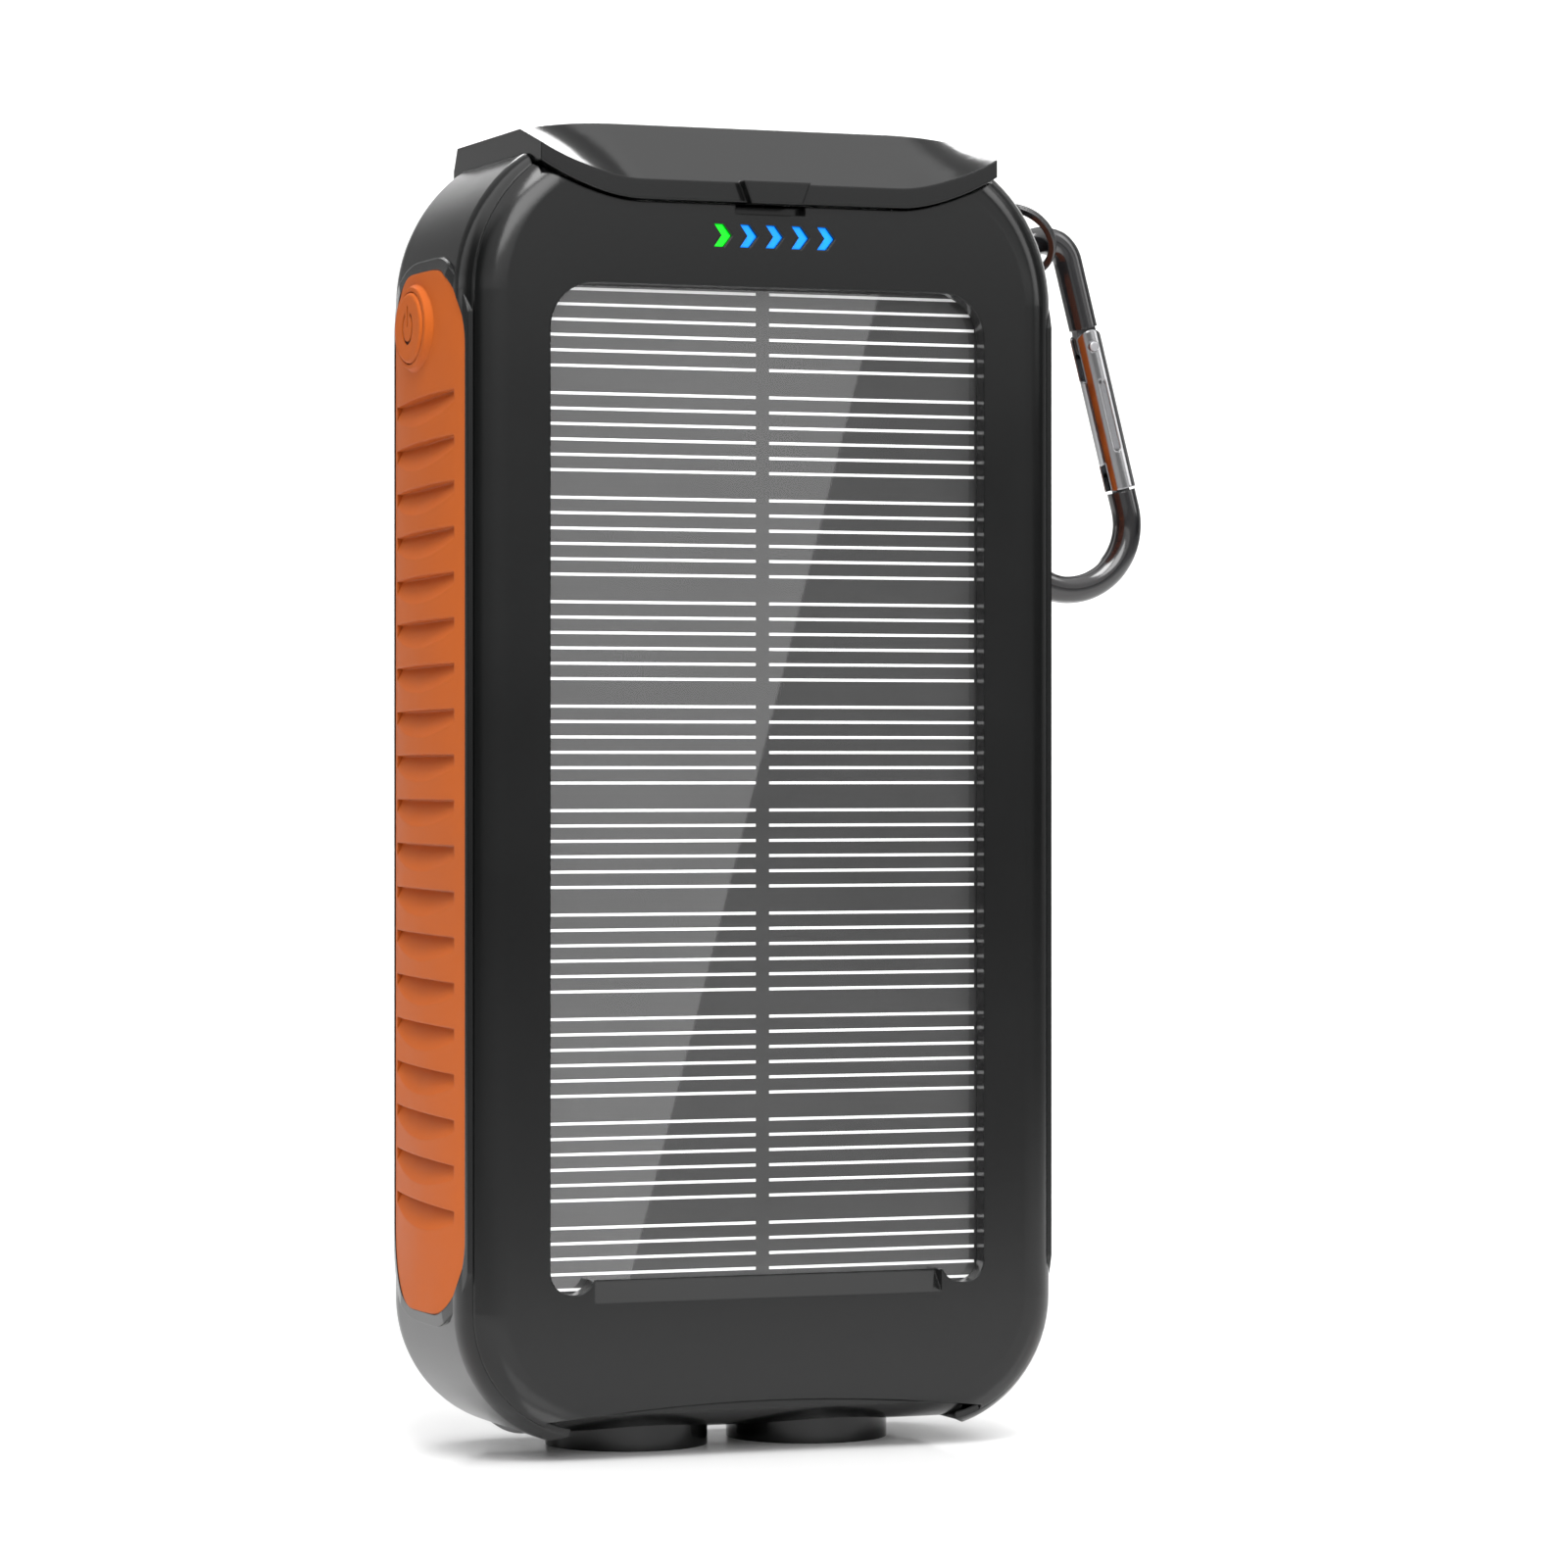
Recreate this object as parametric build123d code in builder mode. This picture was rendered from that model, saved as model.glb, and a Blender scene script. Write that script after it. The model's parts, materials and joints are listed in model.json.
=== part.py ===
from build123d import *

import math
import os

os.makedirs("parts", exist_ok=True)

# Solar power bank with a hinged port lid, two torch lamps and a carabiner.
# Millimetres. X runs across the case, Y from the solar face to the back, Z up to the lid.
# The row origin is the centre of the flat back face. Inside this file a depth is measured
# from the middle of the case and a height from the plane of the lamp rims.

# ---- driving dimensions ----
half_width = 37.6  # side wall of the case, without the grips
half_depth = 16.5
case_bottom = 1.6
case_top = 156.5
origin_height = 80.0  # the row origin above the lamp rims
wall = 2.0
top_corner = 20.0
bottom_corner = 16.0
front_round = 4.9
back_round = 6.5
seam_depth = -14.9  # front frame ahead of it, rear shell behind it
panel_depth = -14.2  # front of the solar panel
cavity_back = 14.3

screw_head_radius = 2.3
lug_half = 2.5
lamp_panel_half = 26.5
lamp_panel_depth = (-15.6, 13.9)
button_half_depth = 5.0
button_half_height = 4.2
button_face = 39.3  # outer face of the button from the middle of the case
indicator_first = -6.0
indicator_pitch = 3.25
chevron_height = 143.6
lanyard_ears = [(1.6, 3.3), (12.7, 14.4)]
bar_x = 39.45
bar_height = 148.7
bar_radius = 0.8

window_half = 27.4
window_bottom = 19.6
window_top = 137.6
window_corner = 5.5

cell_count = 10
lines_per_cell = 6
cell_period = 12.2
line_pitch = 1.796
line_width = 0.34
first_line = 137.0
line_reach = 27.2
centre_gap = 0.86

lid_end = 28.8
lid_edge = 147.5  # lower edge of the lid over its straight middle
lid_straight = 16.0
lid_band = 2.3
lid_top = 157.0
lid_gap = 0.3
lid_front = -17.2
lid_slope_depth = -9.5
lid_back = 15.5
bay_floor = lid_edge - lid_gap
head_floor = 145.1  # underside of the solid head that carries the port panel
bay_half = 27.5
bay_front = -13.2
bay_back = 9.8
hinge_depth = 13.2
hinge_height = 149.8
knuckle_radius = 2.3
pin_radius = 0.8
lug_centre = 10.0

lamp_spacing = 23.2
lamp_depth = 1.5
lamp_radius = 9.75
lamp_wall = 1.2

grip_front = -14.1
grip_back = 11.8
grip_bottom = 16.9
grip_top = 139.4
grip_corner = 9.5
grip_floor = 36.2  # distance of the pocket floor from the middle of the case
grip_crown = 38.3
rib_count = 19
rib_pitch = 5.27
rib_top = 124.6
rib_length = 3.2
rib_depth = 1.45
rib_fan = 2.6  # degrees that the outermost ribs lean

button_depth = 1.0
button_height = 133.0

board_front = -7.2
board_back = -5.6
usb_a_spacing = 29.0

boss_x = 31.0
boss_low = 14.8
boss_high = 142.4
boss_radius = 3.9
screw_radius = 1.2
post_radius = 2.3
post_end = -9.0
seal_top = 141.8

ring_centre = (42.0, 8.0, 146.5)
ring_slope = 41.0  # degrees that the ring hangs down from the bar to the clip
ring_turn = 37.0  # degrees that it is turned about that line
ring_radius = 4.9
ring_wire = 0.5
clip_depth = 8.0
clip_wire = 1.8
clip_top = (45.9, 143.3)
clip_top_radius = 3.5
clip_low = (49.2, 111.5)
clip_low_radius = 8.2
gate_from = 0.27  # share of the straight outer side where the gate starts
gate_to = 0.93
gate_gap = 0.3
gate_pin_radius = 0.6
gate_radius = 1.95


# ---- planes and plain shapes ----
def front(depth):
    """Plane facing the solar side: local x is X, local y is height, extrusion runs to the front."""
    return Plane(origin=(0, depth - half_depth, -origin_height), x_dir=(1, 0, 0), z_dir=(0, -1, 0))


def level(height):
    """Horizontal plane: local x is X, local y is depth, extrusion runs up."""
    return Plane(origin=(0, -half_depth, height - origin_height), x_dir=(1, 0, 0), z_dir=(0, 0, 1))


def side(x):
    """Plane facing +X: local x is depth, local y is height, extrusion runs to +X."""
    return Plane(origin=(x, -half_depth, -origin_height), x_dir=(0, 1, 0), z_dir=(1, 0, 0))


def place(x, depth, height):
    """Row coordinates of a point given by its depth and height."""
    return (x, depth - half_depth, height - origin_height)


def middle(limits):
    return (limits[0] + limits[1]) / 2


def span(limits):
    return limits[1] - limits[0]


def block(x, depth, height, mode=Mode.ADD):
    """Box between two limits in each direction, for the part that is open."""
    with BuildSketch(level(height[0]), mode=Mode.PRIVATE) as foot:
        with Locations((middle(x), middle(depth))):
            Rectangle(span(x), span(depth))
    extrude(foot.sketch, amount=span(height), mode=mode)


def rounded_block(x, depth, height, radius, mode=Mode.ADD):
    """Box whose upright edges are rounded."""
    with BuildSketch(level(height[0]), mode=Mode.PRIVATE) as foot:
        with Locations((middle(x), middle(depth))):
            RectangleRounded(span(x), span(depth), radius)
    extrude(foot.sketch, amount=span(height), mode=mode)


def slab(x, height, depth, radius, mode=Mode.ADD):
    """Plate parallel to the solar face with rounded corners."""
    with BuildSketch(front(depth[1]), mode=Mode.PRIVATE) as face:
        with Locations((middle(x), middle(height))):
            RectangleRounded(span(x), span(height), radius)
    extrude(face.sketch, amount=span(depth), mode=mode)


def rod_y(x, height, radius, depth, mode=Mode.ADD):
    """Round bar along Y."""
    with BuildSketch(front(depth[1]), mode=Mode.PRIVATE) as end:
        with Locations((x, height)):
            Circle(radius)
    extrude(end.sketch, amount=span(depth), mode=mode)


def rod_x(depth, height, radius, x, mode=Mode.ADD):
    """Round bar along X."""
    with BuildSketch(side(x[0]), mode=Mode.PRIVATE) as end:
        with Locations((depth, height)):
            Circle(radius)
    extrude(end.sketch, amount=span(x), mode=mode)


def rod_z(x, depth, radius, height, mode=Mode.ADD):
    """Round bar along Z."""
    with BuildSketch(level(height[0]), mode=Mode.PRIVATE) as end:
        with Locations((x, depth)):
            Circle(radius)
    extrude(end.sketch, amount=span(height), mode=mode)


# ---- shared profiles ----
def case_outline(inset, depth, ceiling=case_top):
    """Front view of the case, drawn in by inset and cut off at the ceiling."""
    with BuildSketch(front(depth), mode=Mode.PRIVATE) as outline:
        with Locations((0, (case_bottom + case_top) / 2)):
            Rectangle(2 * (half_width - inset), case_top - case_bottom - 2 * inset)
        fillet(outline.vertices().group_by(Axis.Y)[-1], top_corner - inset)
        fillet(outline.vertices().group_by(Axis.Y)[0], bottom_corner - inset)
        if ceiling < case_top:
            with Locations((0, ceiling + half_width)):
                Rectangle(3 * half_width, 2 * half_width, mode=Mode.SUBTRACT)
    return outline.sketch


def lid_curve(height, end):
    """Lower edge of the lid in front view: straight in the middle, swept up to both ends."""
    Line((-lid_straight, height), (lid_straight, height))
    for way in (1, -1):
        Spline(
            (way * lid_straight, height),
            (way * 22.4, height + 1.15),
            (way * end, height + 4.1),
            tangents=[(way, 0), (way, 0.6)],
        )


def lid_bay_face(depth):
    """Everything above the lid's lower edge, less the gap that the lid closes with."""
    roof = case_top + 12
    with BuildSketch(front(depth), mode=Mode.PRIVATE) as face:
        with BuildLine():
            end = lid_end + lid_gap
            lid_curve(bay_floor, end)
            Polyline(
                (end, bay_floor + 4.1),
                (end, roof),
                (-end, roof),
                (-end, bay_floor + 4.1),
            )
        make_face()
    return face.sketch


def grip_face(grow, x):
    """Side view of a grip, with rounded corners."""
    with BuildSketch(side(x), mode=Mode.PRIVATE) as face:
        with Locations(((grip_front + grip_back) / 2, (grip_bottom + grip_top) / 2)):
            RectangleRounded(
                grip_back - grip_front + 2 * grow,
                grip_top - grip_bottom + 2 * grow,
                grip_corner + grow,
            )
    return face.sketch


def crowned_face(way, floor, sink, height):
    """Cross-section of a grip: a flat floor and a crowned outside, sunk by sink."""
    with BuildSketch(level(height), mode=Mode.PRIVATE) as face:
        with BuildLine():
            ThreePointArc(
                (way * (36.75 - sink), grip_front - 1.2),
                (way * (grip_crown - sink), -1.2),
                (way * (37.1 - sink), grip_back + 1.2),
            )
            Polyline(
                (way * (37.1 - sink), grip_back + 1.2),
                (way * floor, grip_back + 1.2),
                (way * floor, grip_front - 1.2),
                (way * (36.75 - sink), grip_front - 1.2),
            )
        make_face()
    return face.sketch


def chevron(step, shrink, depth, length, mode=Mode.ADD):
    """One arrow-shaped light guide, or its hole."""
    centre = indicator_first + indicator_pitch * step
    with BuildSketch(front(depth), mode=Mode.PRIVATE) as face:
        with BuildLine():
            Polyline(
                (centre - 1.1 + shrink, chevron_height + 1.35 - shrink),
                (centre + 0.1 - shrink / 2, chevron_height + 1.35 - shrink),
                (centre + 1.15 - 1.4 * shrink, chevron_height),
                (centre + 0.1 - shrink / 2, chevron_height - 1.35 + shrink),
                (centre - 1.1 + shrink, chevron_height - 1.35 + shrink),
                (centre - 0.15 + shrink, chevron_height),
                close=True,
            )
        make_face()
    extrude(face.sketch, amount=length, mode=mode)


def lamp_recess_face(depth, lower):
    """Front view of the space under the front frame that the lamp panel fills."""
    with BuildSketch(front(depth), mode=Mode.PRIVATE) as face:
        with BuildLine():
            ThreePointArc((-27.5, 4.7 - lower), (0, 6.5 - lower), (27.5, 4.7 - lower))
            Polyline((27.5, 4.7 - lower), (27.5, -6), (-27.5, -6), (-27.5, 4.7 - lower))
        make_face()
    return face.sketch


boss_places = [(x, z) for x in (-boss_x, boss_x) for z in (boss_low, boss_high)]
lamp_places = [-lamp_spacing / 2, lamp_spacing / 2]
lamp_names = ["left", "right"]

# ---- case ----
with BuildPart() as case_blank:
    extrude(case_outline(0, half_depth), amount=2 * half_depth)
    fillet(case_blank.faces().sort_by(Axis.Y)[0].edges(), front_round)
    fillet(case_blank.faces().sort_by(Axis.Y)[-1].edges(), back_round)

with BuildPart() as front_frame:
    add(case_blank.part)
    block((-60, 60), (seam_depth, 30), (-10, 170), Mode.SUBTRACT)
    extrude(case_outline(wall + 0.1, panel_depth, head_floor - 0.1), amount=panel_depth - seam_depth + 0.3)
    # posts that take the case screws
    for x, z in boss_places:
        rod_y(x, z, post_radius, (panel_depth - 0.2, post_end))
        rod_y(x, z, screw_radius - 0.2, (-13.0, post_end), Mode.SUBTRACT)
    extrude(lid_bay_face(half_depth + 5), amount=4 * half_depth, mode=Mode.SUBTRACT)
    # bay of the port panel and the notch for a fingertip under the lid's tab
    block((-bay_half, bay_half), (bay_front, 0), (head_floor, 170), Mode.SUBTRACT)
    block((-4.4, 4.4), (-18, -14.0), (146.2, 150), Mode.SUBTRACT)
    # solar window with a sloped bezel
    window_width = (-window_half, window_half)
    slab(window_width, (window_bottom + 1.6, window_top), (-18, -13), window_corner, Mode.SUBTRACT)
    for x in (-1, 1):
        slab(
            tuple(sorted((x * (window_half - 5.6), x * window_half))),
            (window_bottom, window_bottom + 12),
            (-18, -13),
            2.7,
            Mode.SUBTRACT,
        )
    with BuildSketch(side(-21.9)):
        with BuildLine():
            Polyline(
                (-13.9, window_bottom + 1.8),
                (-16.8, window_bottom - 1.4),
                (-16.8, window_bottom + 6),
                (-13.9, window_bottom + 6),
                close=True,
            )
        make_face()
    extrude(amount=43.8, mode=Mode.SUBTRACT)
    # recess of the lamp panel under the solar face
    extrude(lamp_recess_face(-13.2, 0), amount=6, mode=Mode.SUBTRACT)
    # windows of the charge indicators
    for step in range(5):
        chevron(step, 0, -12, 6, Mode.SUBTRACT)
front_frame.part.label = "front_frame"
export_step(front_frame.part, "parts/front_frame.step")

with BuildPart() as rear_shell:
    add(case_blank.part)
    block((-60, 60), (-30, seam_depth + 0.08), (-10, 170), Mode.SUBTRACT)
    extrude(case_outline(wall, cavity_back, head_floor), amount=40, mode=Mode.SUBTRACT)
    # raised rims round the grips, following their crown
    for way in (-1, 1):
        with BuildPart(mode=Mode.PRIVATE) as rim:
            extrude(crowned_face(way, grip_floor - 0.6, -0.12, grip_bottom - 3), amount=140)
            extrude(grip_face(1.5, -60), amount=120, mode=Mode.INTERSECT)
            block((-60, 60), (-30, seam_depth + 0.08), (-10, 170), Mode.SUBTRACT)
        add(rim.part)
    for way in (-1, 1):
        with BuildSketch(side(way * 50 if way < 0 else grip_floor), mode=Mode.PRIVATE) as pocket:
            with Locations(((grip_front + grip_back) / 2, (grip_bottom + grip_top) / 2)):
                RectangleRounded(grip_back - grip_front + 0.1, grip_top - grip_bottom + 0.1, grip_corner)
        extrude(pocket.sketch, amount=50 - grip_floor, mode=Mode.SUBTRACT)
    # screw bosses: flat-topped outside, tubes inside
    for x, z in boss_places:
        rod_y(x, z, boss_radius, (cavity_back - 7, half_depth))
        rod_y(x, z, post_radius + 0.8, (post_end + 0.1, cavity_back))
    extrude(case_outline(-0.4, half_depth + 5), amount=4 * half_depth, mode=Mode.INTERSECT)
    for x, z in boss_places:
        rod_y(x, z, screw_radius + 0.1, (post_end - 1, half_depth + 1), Mode.SUBTRACT)
        rod_y(x, z, screw_head_radius + 0.05, (11.5, half_depth + 1), Mode.SUBTRACT)
    # lid bay, port panel seat and hinge relief
    extrude(lid_bay_face(half_depth + 5), amount=4 * half_depth, mode=Mode.SUBTRACT)
    block((-bay_half, bay_half), (bay_front, bay_back), (head_floor - 1, 170), Mode.SUBTRACT)
    block((-lid_end - lid_gap, lid_end + lid_gap), (bay_back, 30), (bay_floor - 0.1, 170), Mode.SUBTRACT)
    for x in (-lug_centre, lug_centre):
        rod_x(hinge_depth, hinge_height, knuckle_radius - 0.2, (x - lug_half, x + lug_half))
        lug_width = (x - lug_half, x + lug_half)
        block(lug_width, (hinge_depth - 1.8, hinge_depth + 1.8), (head_floor, hinge_height))
    rod_x(hinge_depth, hinge_height, pin_radius, (-14, 14), Mode.SUBTRACT)
    # opening for the lamp panel in the bottom end
    with BuildSketch(level(-2)):
        with Locations((0, middle(lamp_panel_depth))):
            RectangleRounded(2 * lamp_panel_half + 0.2, span(lamp_panel_depth) + 0.2, 5.1)
    extrude(amount=12.4, mode=Mode.SUBTRACT)
    # hole for the power button through the left wall
    with BuildSketch(side(-50)):
        with Locations((button_depth, button_height)):
            Ellipse(button_half_depth - 0.6, button_half_height - 0.6)
    extrude(amount=20, mode=Mode.SUBTRACT)
    # two nested grooves in the back
    for half, low, high, corner in ((27.0, 24.0, 136.0, 13.0), (20.5, 38.0, 122.0, 9.0)):
        with BuildSketch(front(half_depth)):
            with Locations((0, (low + high) / 2)):
                RectangleRounded(2 * half, high - low, corner)
                RectangleRounded(2 * half - 2.0, high - low - 2.0, corner - 1.0, mode=Mode.SUBTRACT)
        extrude(amount=0.5, mode=Mode.SUBTRACT)
    # two ears for the lanyard bar on the upper right corner
    for near, far in lanyard_ears:
        with BuildPart(mode=Mode.PRIVATE) as ear:
            with BuildSketch(front(far)):
                with BuildLine():
                    Polyline(
                        (33.6, 142.6),
                        (36.4, 143.2),
                        (41.0, 147.9),
                        (39.6, 150.7),
                        (33.6, 149.6),
                        close=True,
                    )
                make_face()
            extrude(amount=far - near)
            fillet(ear.edges().filter_by(Axis.Y).sort_by(Axis.X)[-2:], 1.2)
        add(ear.part)
    rod_y(bar_x, bar_height, bar_radius, (0, half_depth + 1), Mode.SUBTRACT)
rear_shell.part.label = "rear_shell"
export_step(rear_shell.part, "parts/rear_shell.step")

with BuildPart() as case_seal:
    extrude(case_outline(wall + 0.3, -13.0, seal_top), amount=1.1)
    extrude(case_outline(wall + 1.3, -12.0, seal_top - 1.0), amount=4, mode=Mode.SUBTRACT)
    for x, z in boss_places:
        rod_y(x, z, post_radius + 1.0, (-15, -10), Mode.SUBTRACT)
    block((-lamp_panel_half - 1, lamp_panel_half + 1), (-15, -10), (0, 12), Mode.SUBTRACT)
case_seal.part.label = "case_seal"
export_step(case_seal.part, "parts/case_seal.step")

# ---- case fasteners ----
with BuildPart() as case_screws:
    for x, z in boss_places:
        rod_y(x, z, screw_radius - 0.25, (-12.5, 11.6))
        rod_y(x, z, screw_head_radius, (11.5, 13.3))
        slab((x - 0.35, x + 0.35), (z - 1.7, z + 1.7), (12.5, 14), 0.3, Mode.SUBTRACT)
        slab((x - 1.7, x + 1.7), (z - 0.35, z + 0.35), (12.5, 14), 0.3, Mode.SUBTRACT)
case_screws.part.label = "case_screws"
export_step(case_screws.part, "parts/case_screws.step")

with BuildPart() as screw_plugs:
    for x, z in boss_places:
        rod_y(x, z, screw_head_radius, (14.0, half_depth - 0.15))
screw_plugs.part.label = "screw_plugs"
export_step(screw_plugs.part, "parts/screw_plugs.step")

# ---- solar panel ----
panel_x = (-window_half - 2.4, window_half + 2.4)
panel_z = (window_bottom - 0.2, window_top + 2.2)
with BuildPart() as solar_cover:
    slab(panel_x, panel_z, (panel_depth, panel_depth + 0.3), 3)
solar_cover.part.label = "solar_cover"
export_step(solar_cover.part, "parts/solar_cover.step")

with BuildPart() as solar_cells:
    slab(panel_x, panel_z, (panel_depth + 0.4, panel_depth + 0.8), 3)
solar_cells.part.label = "solar_cells"
export_step(solar_cells.part, "parts/solar_cells.step")

with BuildPart() as cell_grid_lines:
    for cell in range(cell_count):
        for line in range(lines_per_cell):
            z = first_line - cell * cell_period - line * line_pitch
            for x in ((-line_reach, -centre_gap), (centre_gap, line_reach)):
                block(x, (panel_depth + 0.32, panel_depth + 0.4), (z - line_width / 2, z + line_width / 2))
cell_grid_lines.part.label = "cell_grid_lines"
export_step(cell_grid_lines.part, "parts/cell_grid_lines.step")

with BuildPart() as solar_backing:
    slab(panel_x, panel_z, (panel_depth + 0.8, panel_depth + 1.6), 3)
solar_backing.part.label = "solar_backing"
export_step(solar_backing.part, "parts/solar_backing.step")


# ---- charge indicators ----
with BuildPart() as indicator_green:
    chevron(0, 0.05, -9.0, 7.1)
indicator_green.part.label = "indicator_green"
export_step(indicator_green.part, "parts/indicator_green.step")

with BuildPart() as indicator_blue:
    for step in range(1, 5):
        chevron(step, 0.05, -9.0, 7.1)
indicator_blue.part.label = "indicator_blue"
export_step(indicator_blue.part, "parts/indicator_blue.step")

with BuildPart() as indicator_leds:
    for step in range(5):
        x = indicator_first + indicator_pitch * step
        block((x - 0.8, x + 0.8), (board_front - 0.8, board_front), (chevron_height - 0.5, chevron_height + 0.5))
indicator_leds.part.label = "indicator_leds"
export_step(indicator_leds.part, "parts/indicator_leds.step")

# ---- electronics ----
with BuildPart() as main_board:
    block((-26, 26), (board_front, board_back), (109, 145.0))
    for x in (-22.5, 22.5):
        rod_y(x, 113, 1.1, (board_front - 1, board_back + 1), Mode.SUBTRACT)
main_board.part.label = "main_board"
export_step(main_board.part, "parts/main_board.step")

with BuildPart() as board_screws:
    for x in (-22.5, 22.5):
        rod_y(x, 113, 1.0, (board_front, board_back + 0.1))
        rod_y(x, 113, 1.9, (board_back, board_back + 1.1))
board_screws.part.label = "board_screws"
export_step(board_screws.part, "parts/board_screws.step")

usb_a_places = [-usb_a_spacing / 2, usb_a_spacing / 2]
for name, x in zip(("usb_a_left", "usb_a_right"), usb_a_places):
    with BuildPart() as usb_shell:
        block((x - 6.6, x + 6.6), (board_back, board_back + 5.7), (133.0, bay_floor))
        block((x - 6.25, x + 6.25), (board_back + 0.35, board_back + 5.35), (134.0, bay_floor + 1), Mode.SUBTRACT)
    usb_shell.part.label = name + "_shell"
    export_step(usb_shell.part, "parts/" + name + "_shell.step")
    with BuildPart() as usb_tongue:
        block((x - 5.6, x + 5.6), (board_back + 3.1, board_back + 4.9), (134.0, bay_floor - 0.9))
    usb_tongue.part.label = name + "_tongue"
    export_step(usb_tongue.part, "parts/" + name + "_tongue.step")

with BuildPart() as usb_c_shell:
    with BuildSketch(level(139.8)):
        with Locations((0, board_back + 1.65)):
            RectangleRounded(8.94, 3.2, 1.55)
    extrude(amount=bay_floor - 139.8)
    with BuildSketch(level(140.6)):
        with Locations((0, board_back + 1.65)):
            RectangleRounded(8.3, 2.56, 1.25)
    extrude(amount=10, mode=Mode.SUBTRACT)
usb_c_shell.part.label = "usb_c_shell"
export_step(usb_c_shell.part, "parts/usb_c_shell.step")

with BuildPart() as usb_c_tongue:
    block((-3.3, 3.3), (board_back + 1.3, board_back + 2.0), (140.6, bay_floor - 0.5))
usb_c_tongue.part.label = "usb_c_tongue"
export_step(usb_c_tongue.part, "parts/usb_c_tongue.step")

with BuildPart() as inductor:
    rounded_block((-5, 5), (board_back, board_back + 5), (119, 129), 1.5)
inductor.part.label = "inductor"
export_step(inductor.part, "parts/inductor.step")

with BuildPart() as capacitors:
    for x in (10.5, 17.5):
        rod_y(x, 124, 2.6, (board_back, board_back + 7))
capacitors.part.label = "capacitors"
export_step(capacitors.part, "parts/capacitors.step")

with BuildPart() as controller_chips:
    block((-16, -10), (board_back, board_back + 1.2), (118, 124))
    block((-21.5, -17.5), (board_back, board_back + 1.0), (126, 131))
controller_chips.part.label = "controller_chips"
export_step(controller_chips.part, "parts/controller_chips.step")

with BuildPart() as button_board:
    block((-30.4, -29.2), (-5, 6.5), (125, 138.4))
button_board.part.label = "button_board"
export_step(button_board.part, "parts/button_board.step")

with BuildPart() as button_switch:
    block((-33.6, -30.4), (button_depth - 3, button_depth + 3), (button_height - 3, button_height + 3))
    rod_x(button_depth, button_height, 1.75, (-34, -31.6), Mode.SUBTRACT)
button_switch.part.label = "button_switch"
export_step(button_switch.part, "parts/button_switch.step")

with BuildPart() as switch_plunger:
    rod_x(button_depth, button_height, 1.65, (-34.1, -32.2))
switch_plunger.part.label = "switch_plunger"
export_step(switch_plunger.part, "parts/switch_plunger.step")

for name, near, far in (("battery_front", -11.6, 0.7), ("battery_back", 1.3, 13.6)):
    with BuildPart() as battery:
        rounded_block((-30, 30), (near, far), (24, 106), 3.5)
    battery.part.label = name
    export_step(battery.part, "parts/" + name + ".step")

with BuildPart() as battery_tape:
    block((-26, 26), (0.7, 1.3), (30, 100))
battery_tape.part.label = "battery_tape"
export_step(battery_tape.part, "parts/battery_tape.step")

with BuildPart() as battery_foam:
    for x in (-18, 18):
        block((x - 7, x + 7), (13.6, cavity_back), (34, 96))
battery_foam.part.label = "battery_foam"
export_step(battery_foam.part, "parts/battery_foam.step")

# ---- port panel and lid ----
with BuildPart() as port_panel:
    rounded_block((-bay_half + 0.1, bay_half - 0.1), (bay_front + 0.1, bay_back - 0.1), (head_floor + 0.1, bay_floor), 1.5)
    for x in usb_a_places:
        block((x - 6.65, x + 6.65), (board_back - 0.05, board_back + 5.75), (head_floor - 1, bay_floor + 1), Mode.SUBTRACT)
    with BuildSketch(level(head_floor - 1)):
        with Locations((0, board_back + 1.65)):
            RectangleRounded(9.05, 3.3, 1.6)
    extrude(amount=5, mode=Mode.SUBTRACT)
port_panel.part.label = "port_panel"
export_step(port_panel.part, "parts/port_panel.step")


def lid_face(depth, band_only):
    """Front view of the lid at one depth: the narrow band in front, the full height behind."""
    lip = 4.1
    end_top = 153.7 if band_only else 155.9
    roof = lid_edge + lid_band if band_only else lid_top
    reach = lid_straight if band_only else half_width - top_corner
    with BuildSketch(front(depth), mode=Mode.PRIVATE) as face:
        with BuildLine():
            lid_curve(lid_edge, lid_end)
            Line((-reach, roof), (reach, roof))
            for way in (1, -1):
                Line((way * lid_end, lid_edge + lip), (way * lid_end, end_top))
                if band_only:
                    Spline(
                        (way * reach, roof),
                        (way * 22.4, roof + 1.15),
                        (way * lid_end, end_top),
                        tangents=[(way, 0), (way, 0.6)],
                    )
                else:
                    ThreePointArc(
                        (way * reach, roof),
                        (way * (reach + lid_end) / 2, roof - 0.28),
                        (way * lid_end, end_top),
                    )
        make_face()
    return face.sketch


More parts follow.
